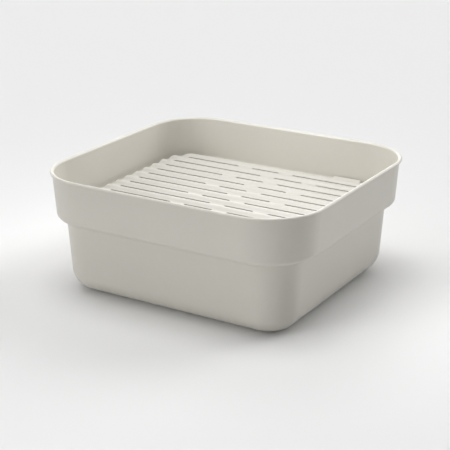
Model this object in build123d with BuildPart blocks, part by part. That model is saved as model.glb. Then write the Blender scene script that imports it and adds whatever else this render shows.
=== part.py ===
from build123d import *
import os
from math import asin, radians, tan

# Draining tub with a loose, corrugated and slotted drainer tray.
# Millimetres. +X along the long side, +Z up, origin at the centre of the underside.

# ------------------------------------------------------------------ tub, driving dimensions
TUB_LENGTH = 315.0          # over the rim lip, along X
TUB_WIDTH = 294.0           # over the rim lip, along Y
TUB_HEIGHT = 132.0
RIM_CORNER = 61.0           # plan radius of the lip's corners
WALL = 2.0

LIP_REACH = 2.5             # how far the lip stands out from the wall under it
LIP_DEPTH = 2.5
LIP_ROUND = 1.9             # upper outer edge of the lip
LIP_UNDER_ROUND = 0.5       # lower outer edge of the lip
MOUTH_ROUND = 2.3           # inner edge of the mouth

STEP_HEIGHT = 81.1          # underside of the step between band and body
BAND_DRAFT = 4.0            # degrees, the upper band narrows downwards
BAND_ROUND = 5.4            # outside radius under the band
BODY_INSET = 17.8           # lip edge to body wall, at the step
BODY_CORNER = 38.0          # plan radius of the body's corners, at the step
BODY_DRAFT = 3.9            # degrees
BODY_ROUND = 23.5           # outside radius round the base
FLOOR = 2.2
LEDGE_ROUND = 1.8           # inner edge of the ledge, where the body opens below it
STEP_CORNER_ROUND = 0.8     # inside corner between the step and the body wall

# ------------------------------------------------------------------ tray, driving dimensions
TRAY_LENGTH = 290.0
TRAY_WIDTH = 263.6
TRAY_CORNER = 51.0
SHEET = 1.6
REST_GAP = 0.3              # between the tray's foot and the ledge
TRAY_SHIFT_X = 2.0          # the loose tray lies towards the back right of its seat
TRAY_SHIFT_Y = 1.63

ROW_PITCH = 18.2
ROW_COUNT = 13
WAVE_HEIGHT = 2.57          # valley to crest
VALLEY_HEIGHT = 87.3        # top of the sheet in its middle valley
DISH = 1.6                  # rise of the outermost rows above the middle one
EDGE_HEIGHT = 90.8          # top of the outermost crests, where the sheet turns down
FLANGE_DEPTH = 1.5          # foot flange along the long sides

SLOT_WIDTH = 2.75
SLOT_REACH = 134.2          # outer ends of the slots, from the tray's centre
SLOT_GAP = 18.0
SLOT_SHORT = 35.5
SLOT_LONG = 118.2
CORNER_ROW_TRIMS = (8.5, 4.0)   # the outermost rows stop short at the rounded corners

TAB_WIDTH = 34.0
TAB_CENTRE = 74.2           # along X from the tray's centre
TAB_REACH = 136.0           # outer edge of the tab, from the tray's centre
TAB_HEIGHT = 88.0           # top of the tab
TAB_THICKNESS = 2.6
TAB_ROUND = 3.0

# ------------------------------------------------------------------ derived values
lip_underside = TUB_HEIGHT - LIP_DEPTH
ledge_height = STEP_HEIGHT + WALL
mouth_inset = LIP_REACH + WALL - LIP_DEPTH * tan(radians(BAND_DRAFT))
opening_inset = BODY_INSET + WALL

foot_height = ledge_height + REST_GAP
flange_height = foot_height + FLANGE_DEPTH
quarter_pitch = ROW_PITCH / 4
wave_radius = (quarter_pitch**2 + (WAVE_HEIGHT / 2) ** 2) / WAVE_HEIGHT
wave_slope = tan(asin(quarter_pitch / wave_radius))
last_row = ROW_COUNT // 2
last_crest = (last_row + 0.5) * ROW_PITCH
waves_end = last_crest - quarter_pitch
slope_start = last_crest + quarter_pitch
slope_height = EDGE_HEIGHT - WAVE_HEIGHT / 2
slope_end = slope_start + (slope_height - flange_height) / wave_slope
tray_depth = VALLEY_HEIGHT + WAVE_HEIGHT + 2 * DISH - foot_height
slot_medium = 2 * (SLOT_REACH - SLOT_GAP) - SLOT_SHORT - SLOT_LONG
CUT_MARGIN = 5.0            # how far cutting shapes run past what they cut

tray_level = Plane(origin=(TRAY_SHIFT_X, TRAY_SHIFT_Y, foot_height))
tray_section = Plane(origin=(TRAY_SHIFT_X, TRAY_SHIFT_Y, 0), x_dir=(0, 1, 0), z_dir=(1, 0, 0))
tab_section = tray_section.offset(TAB_CENTRE)


# ------------------------------------------------------------------ profiles
def tub_outline(inset, corner):
    """Rounded rectangle lying inset from the lip's outline."""
    RectangleRounded(TUB_LENGTH - 2 * inset, TUB_WIDTH - 2 * inset, corner)


def wave_level(reach):
    """Mid height of the sheet's waves at a distance from the tray's middle; the sheet is dished."""
    return VALLEY_HEIGHT + WAVE_HEIGHT / 2 + DISH * (reach / (last_row * ROW_PITCH)) ** 2


def sheet_top(drop):
    """Top line of the sheet across the rows, lowered by drop, flange to flange."""
    for half_wave in range(-2 * last_row, 2 * last_row + 1):
        centre = half_wave * ROW_PITCH / 2
        bulge = WAVE_HEIGHT / 2 if half_wave % 2 else -WAVE_HEIGHT / 2
        near, far = centre - quarter_pitch, centre + quarter_pitch
        ThreePointArc(
            (near, wave_level(near) - drop),
            (centre, wave_level(centre) + bulge - drop),
            (far, wave_level(far) - drop),
        )
    for side in (-1, 1):
        ThreePointArc(
            (side * waves_end, wave_level(waves_end) - drop),
            (side * last_crest, EDGE_HEIGHT - drop),
            (side * slope_start, slope_height - drop),
        )
        Polyline(
            (side * slope_start, slope_height - drop),
            (side * slope_end, flange_height - drop),
            (side * TRAY_WIDTH / 2, flange_height - drop),
        )


def close_below(drop, bottom):
    """Sides and bottom that close the sheet's top line to a cross-section."""
    Polyline(
        (-TRAY_WIDTH / 2, flange_height - drop),
        (-TRAY_WIDTH / 2, bottom),
        (TRAY_WIDTH / 2, bottom),
        (TRAY_WIDTH / 2, flange_height - drop),
    )


def tab_line(drop):
    """Long section of the tab: the sheet swings down a little and runs out flat."""
    flat_start = slope_start + quarter_pitch
    TangentArc(
        (flat_start, TAB_HEIGHT - drop),
        (slope_start, slope_height - drop),
        tangent=(-1, 0),
    )
    Line((flat_start, TAB_HEIGHT - drop), (TAB_REACH, TAB_HEIGHT - drop))


def row_spans(row):
    """Start and end along X of the three slots in a row."""
    medium_end = slot_medium - SLOT_REACH
    short_start = medium_end + SLOT_GAP
    short_end = short_start + SLOT_SHORT
    long_start = short_end + SLOT_GAP
    spans = [[-SLOT_REACH, medium_end], [short_start, short_end], [long_start, SLOT_REACH]]
    if row % 2:
        spans = [[-end, -start] for start, end in reversed(spans)]
    if abs(row) == last_row:
        spans[0][0] += CORNER_ROW_TRIMS[0]
        spans[-1][1] -= CORNER_ROW_TRIMS[1]
    return spans


# ------------------------------------------------------------------ tub
with BuildPart() as band_space:
    with BuildSketch(Plane.XY.offset(TUB_HEIGHT)):
        tub_outline(mouth_inset, RIM_CORNER - mouth_inset)
    extrude(amount=ledge_height - TUB_HEIGHT, taper=BAND_DRAFT)
    fillet(band_space.edges().group_by(Axis.Z)[0], BAND_ROUND - WALL)

with BuildPart() as body_space:
    with BuildSketch(Plane.XY.offset(ledge_height)):
        tub_outline(opening_inset, BODY_CORNER - WALL)
    extrude(amount=FLOOR - ledge_height, taper=BODY_DRAFT)
    fillet(body_space.edges().group_by(Axis.Z)[0], BODY_ROUND - WALL)

with BuildPart() as tub:
    with BuildSketch(Plane.XY.offset(lip_underside)):
        tub_outline(LIP_REACH, RIM_CORNER - LIP_REACH)
    extrude(amount=STEP_HEIGHT - lip_underside, taper=BAND_DRAFT)
    fillet(tub.edges().group_by(Axis.Z)[0], BAND_ROUND)

    with BuildSketch(Plane.XY.offset(STEP_HEIGHT)):
        tub_outline(BODY_INSET, BODY_CORNER)
    extrude(amount=-STEP_HEIGHT, taper=BODY_DRAFT)
    fillet(tub.edges().group_by(Axis.Z)[0], BODY_ROUND)

    with BuildSketch(Plane.XY.offset(lip_underside)):
        tub_outline(0, RIM_CORNER)
    extrude(amount=LIP_DEPTH)

    add(band_space.part, mode=Mode.SUBTRACT)
    add(body_space.part, mode=Mode.SUBTRACT)

    step_face = tub.faces().filter_by(Plane.XY).sort_by(Axis.Z)[2]
    fillet(step_face.inner_wires()[0].edges(), STEP_CORNER_ROUND)
    ledge_face = tub.faces().filter_by(Plane.XY).sort_by(Axis.Z)[3]
    fillet(ledge_face.inner_wires()[0].edges(), LEDGE_ROUND)
    rim_face = tub.faces().filter_by(Plane.XY).sort_by(Axis.Z)[-1]
    fillet(rim_face.inner_wires()[0].edges(), MOUTH_ROUND)
    rim_face = tub.faces().filter_by(Plane.XY).sort_by(Axis.Z)[-1]
    fillet(rim_face.outer_wire().edges(), LIP_ROUND)
    lip_face = tub.faces().filter_by(Plane.XY).sort_by(Axis.Z)[-2]
    fillet(lip_face.outer_wire().edges(), LIP_UNDER_ROUND)

tub.part.label = "tub"

# ------------------------------------------------------------------ tray
with BuildPart() as tab:
    with BuildSketch(tab_section):
        with BuildLine():
            tab_line(0)
            tab_line(TAB_THICKNESS)
            for reach, top in ((slope_start, slope_height), (TAB_REACH, TAB_HEIGHT)):
                Line((reach, top), (reach, top - TAB_THICKNESS))
        make_face()
    extrude(amount=TAB_WIDTH / 2, both=True)
    fillet(tab.edges().filter_by(Axis.Z).group_by(Axis.Y)[-1], TAB_ROUND)

with BuildPart() as tab_gap:
    with BuildSketch(tab_section):
        with Locations((slope_start, foot_height - CUT_MARGIN)):
            Rectangle(TAB_REACH - slope_start, tray_depth + 2 * CUT_MARGIN, align=Align.MIN)
    extrude(amount=TAB_WIDTH / 2, both=True)

with BuildPart() as tray_hollow:
    with BuildSketch(tray_level.offset(-CUT_MARGIN)):
        RectangleRounded(TRAY_LENGTH - 2 * SHEET, TRAY_WIDTH - 2 * SHEET, TRAY_CORNER - SHEET)
    extrude(amount=tray_depth + CUT_MARGIN)
    with BuildSketch(tray_section):
        with BuildLine():
            sheet_top(SHEET)
            close_below(SHEET, foot_height - CUT_MARGIN)
        make_face()
    extrude(amount=TRAY_LENGTH, both=True, mode=Mode.INTERSECT)

with BuildPart() as tray:
    with BuildSketch(tray_level):
        RectangleRounded(TRAY_LENGTH, TRAY_WIDTH, TRAY_CORNER)
    extrude(amount=tray_depth)
    with BuildSketch(tray_section):
        with BuildLine():
            sheet_top(0)
            close_below(0, foot_height)
        make_face()
    extrude(amount=TRAY_LENGTH, both=True, mode=Mode.INTERSECT)
    add(tray_hollow.part, mode=Mode.SUBTRACT)

    with BuildSketch(tray_level):
        for row in range(-last_row, last_row + 1):
            for start, end in row_spans(row):
                with Locations(((start + end) / 2, row * ROW_PITCH)):
                    SlotOverall(end - start, SLOT_WIDTH)
    extrude(amount=tray_depth, mode=Mode.SUBTRACT)

    add(tab_gap.part, mode=Mode.SUBTRACT)
    add(tab.part)

tray.part.label = "drainer_tray"

# ------------------------------------------------------------------ export
os.makedirs("parts", exist_ok=True)
export_step(tub.part, "parts/tub.step")
export_step(tray.part, "parts/drainer_tray.step")
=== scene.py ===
import math

import bpy
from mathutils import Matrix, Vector

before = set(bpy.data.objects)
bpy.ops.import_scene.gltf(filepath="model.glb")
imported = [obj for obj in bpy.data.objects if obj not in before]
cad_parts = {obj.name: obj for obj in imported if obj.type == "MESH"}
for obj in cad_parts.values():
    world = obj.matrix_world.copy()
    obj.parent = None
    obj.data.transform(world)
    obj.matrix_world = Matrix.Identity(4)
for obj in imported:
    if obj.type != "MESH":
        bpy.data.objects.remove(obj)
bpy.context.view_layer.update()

# ---------------------------------------------------------------- camera, metres and degrees
CAMERA_AZIMUTH = 31.14
CAMERA_ELEVATION = 19.48
CAMERA_DISTANCE = 1.3474
CAMERA_LENS = 99.24
CAMERA_SHIFT = (-0.0086, -0.0198)
AIM = Vector((0.0, 0.0, 0.07))

# ---------------------------------------------------------------- far soft lamps
LAMP_ANGLE = 35             # how wide each lamp looks, in degrees
FAR_LAMPS = [               # name, azimuth, elevation, strength
    ("left_low", -120, 10, 0.76),
    ("back_left_low", -150, 10, 0.93),
    ("front_left_low", -30, 10, 0.50),
    ("front_left", -30, 30, 0.65),
    ("front_left_high", -30, 68, 0.29),
    ("left_high", -90, 68, 0.32),
    ("front_low", 0, 10, 0.29),
    ("back_right_low", 150, 10, 0.77),
    ("back_right", 150, 30, 0.95),
    ("back_low", 180, 10, 0.15),
    ("back", 180, 50, 0.17),
    ("overhead", 0, 90, 1.13),
]

# ---------------------------------------------------------------- softboxes close above the tub
SOFTBOX_SIZE = 0.16
SOFTBOX_AIM = Vector((0.0, 0.0, 0.10))
SOFTBOXES = [               # name, place, power in watts
    ("softbox_back", (0.0, 0.10, 0.35), 0.233),
    ("softbox_middle", (0.0, 0.0, 0.35), 0.188),
    ("softbox_front", (0.0, -0.20, 0.50), 0.111),
]

# ---------------------------------------------------------------- floor
FLOOR_GREY = (0.80, 0.80, 0.80)
FLOOR_SIZE = 80
FLOOR_ROUGHNESS = 0.9
FLOOR_SPECULAR = 0.1

# ---------------------------------------------------------------- moulded plastic, metres
TUB_CREAM = (0.60, 0.579, 0.523)
TRAY_CREAM = (0.565, 0.548, 0.505)
# painted crevice shade: base colour darkened in narrow gaps and slots, standing in for the shade
# there
TUB_PAINTED_CREVICE_SHADE = 1.0           # painted shade: how much of the colour is left in the narrowest gaps (1.0 paints none on the tub)
TRAY_PAINTED_CREVICE_SHADE = 0.6
CLOUD_CELL = 0.07
CLOUD_DETAIL = 2.0
CLOUD_SHADES = (0.988, 1.012)
CLOUD_ROUGHNESS = (0.40, 0.46)
SPECK_CELL = 0.006
SPECK_DETAIL = 3.0
SPECK_SHADES = (0.994, 1.006)
SPECK_ROUGHNESS = (-0.03, 0.03)
GRAIN_CELL = 0.0009
GRAIN_DETAIL = 2.0
GRAIN_HEIGHT = 0.00002
WAVE_CELL = 0.05
WAVE_DETAIL = 1.0
WAVE_HEIGHT = 0.0003
NOISE_MIDDLE = (0.3, 0.7)   # the part of a noise's range that is stretched over the whole
# reach, mask range and samples of the ambient-occlusion mask that places the painted crevice
# shade
CREVICE_REACH = 0.004
CREVICE_OPENNESS = (0.1, 0.6)   # from narrowest gap to open surface
CREVICE_SAMPLES = 6


def direction(azimuth, elevation):
    """Unit vector from the object to a viewer or lamp; azimuth 0 is in front, on -Y."""
    a, e = math.radians(azimuth), math.radians(elevation)
    return Vector((math.sin(a) * math.cos(e), -math.cos(a) * math.cos(e), math.sin(e)))


def look_at(thing, place, target):
    thing.location = place
    thing.rotation_euler = (target - place).to_track_quat("-Z", "Y").to_euler()


def make_camera():
    data = bpy.data.cameras.new("camera")
    data.lens = CAMERA_LENS
    data.sensor_width = 36.0
    data.shift_x, data.shift_y = CAMERA_SHIFT
    camera = bpy.data.objects.new("camera", data)
    bpy.context.scene.collection.objects.link(camera)
    look_at(camera, AIM + direction(CAMERA_AZIMUTH, CAMERA_ELEVATION) * CAMERA_DISTANCE, AIM)
    bpy.context.scene.camera = camera


def add_lamp(name, kind, place, target, power):
    """Data of a new lamp of this kind, looking from place to target."""
    data = bpy.data.lights.new(name, kind)
    data.energy = power
    lamp = bpy.data.objects.new(name, data)
    bpy.context.scene.collection.objects.link(lamp)
    look_at(lamp, place, target)
    return data


def make_lamps():
    for name, azimuth, elevation, power in FAR_LAMPS:
        lamp = add_lamp(name, "SUN", AIM + direction(azimuth, elevation), AIM, power)
        lamp.angle = math.radians(LAMP_ANGLE)
    for name, place, power in SOFTBOXES:
        lamp = add_lamp(name, "AREA", Vector(place), SOFTBOX_AIM, power)
        lamp.shape = "DISK"
        lamp.size = SOFTBOX_SIZE


def make_floor():
    bpy.ops.mesh.primitive_plane_add(size=FLOOR_SIZE)
    floor = bpy.context.object
    floor.name = "floor"
    material = bpy.data.materials.new("floor")
    material.use_nodes = True
    shader = material.node_tree.nodes["Principled BSDF"]
    shader.inputs["Base Color"].default_value = (*FLOOR_GREY, 1)
    shader.inputs["Roughness"].default_value = FLOOR_ROUGHNESS
    shader.inputs["Specular IOR Level"].default_value = FLOOR_SPECULAR
    floor.data.materials.append(material)


class Nodes:
    """Short ways to add nodes to one material."""

    def __init__(self, material):
        self.tree = material.node_tree
        self.position = self.add("ShaderNodeTexCoord").outputs["Object"]

    def add(self, kind, **inputs):
        node = self.tree.nodes.new(kind)
        for name, value in inputs.items():
            self.plug(node.inputs[name.replace("_", " ")], value)
        return node

    def plug(self, socket, value):
        if isinstance(value, bpy.types.NodeSocket):
            self.tree.links.new(value, socket)
        else:
            socket.default_value = value

    def noise(self, cell, detail):
        """Noise from 0 to 1 whose lumps are about cell metres across."""
        node = self.add("ShaderNodeTexNoise", Vector=self.position, Scale=1 / cell, Detail=detail)
        return node.outputs["Fac"]

    def remap(self, value, source, target):
        """A value mapped from the range source to the range target, and kept within it."""
        node = self.add(
            "ShaderNodeMapRange", Value=value, From_Min=source[0], From_Max=source[1],
            To_Min=target[0], To_Max=target[1],
        )
        return node.outputs["Result"]

    def maths(self, operation, a, b):
        node = self.add("ShaderNodeMath")
        node.operation = operation
        self.plug(node.inputs[0], a)
        self.plug(node.inputs[1], b)
        return node.outputs["Value"]

    def scaled(self, color, factor):
        """A colour times a grey factor."""
        node = self.add("ShaderNodeVectorMath")
        node.operation = "SCALE"
        self.plug(node.inputs[0], color)
        self.plug(node.inputs["Scale"], factor)
        return node.outputs["Vector"]

    def bump(self, height, distance, normal=None):
        node = self.add("ShaderNodeBump", Height=height, Distance=distance)
        if normal:
            self.plug(node.inputs["Normal"], normal)
        return node.outputs["Normal"]

    def openness(self, reach):
        """1 on open surface, falling to 0 where surfaces within reach close over it."""
        node = self.add("ShaderNodeAmbientOcclusion", Distance=reach)
        node.samples = CREVICE_SAMPLES
        return node.outputs["AO"]


def plastic(name, color, painted_crevice_shade):
    """Matt moulded plastic; the last argument is how much of its colour is left in the narrowest
    gaps, where shade is painted into the colour.
    """
    material = bpy.data.materials.new(name)
    material.use_nodes = True
    shader = material.node_tree.nodes["Principled BSDF"]
    nodes = Nodes(material)
    cloud = nodes.noise(CLOUD_CELL, CLOUD_DETAIL)
    speck = nodes.noise(SPECK_CELL, SPECK_DETAIL)
    shade = nodes.maths(
        "MULTIPLY",
        nodes.remap(cloud, NOISE_MIDDLE, CLOUD_SHADES),
        nodes.remap(speck, NOISE_MIDDLE, SPECK_SHADES),
    )
    # painted shade: colour darkened where ambient occlusion finds close surfaces, darkening slots
    # and gaps as shade would
    painted_shade = nodes.remap(nodes.openness(CREVICE_REACH), CREVICE_OPENNESS, (painted_crevice_shade, 1.0))
    shade = nodes.maths("MULTIPLY", shade, painted_shade)
    nodes.plug(shader.inputs["Base Color"], nodes.scaled(color, shade))
    roughness = nodes.maths(
        "ADD",
        nodes.remap(cloud, NOISE_MIDDLE, CLOUD_ROUGHNESS),
        nodes.remap(speck, NOISE_MIDDLE, SPECK_ROUGHNESS),
    )
    nodes.plug(shader.inputs["Roughness"], roughness)
    waviness = nodes.bump(nodes.noise(WAVE_CELL, WAVE_DETAIL), WAVE_HEIGHT)
    grain = nodes.bump(nodes.noise(GRAIN_CELL, GRAIN_DETAIL), GRAIN_HEIGHT, waviness)
    nodes.plug(shader.inputs["Normal"], grain)
    return material


def dress(node, material):
    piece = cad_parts[node]
    piece.data.materials.clear()
    piece.data.materials.append(material)


make_camera()
make_floor()
make_lamps()
bpy.context.scene.view_settings.view_transform = "Standard"
dress("tub", plastic("tub_plastic", TUB_CREAM, TUB_PAINTED_CREVICE_SHADE))
dress("drainer_tray", plastic("tray_plastic", TRAY_CREAM, TRAY_PAINTED_CREVICE_SHADE))
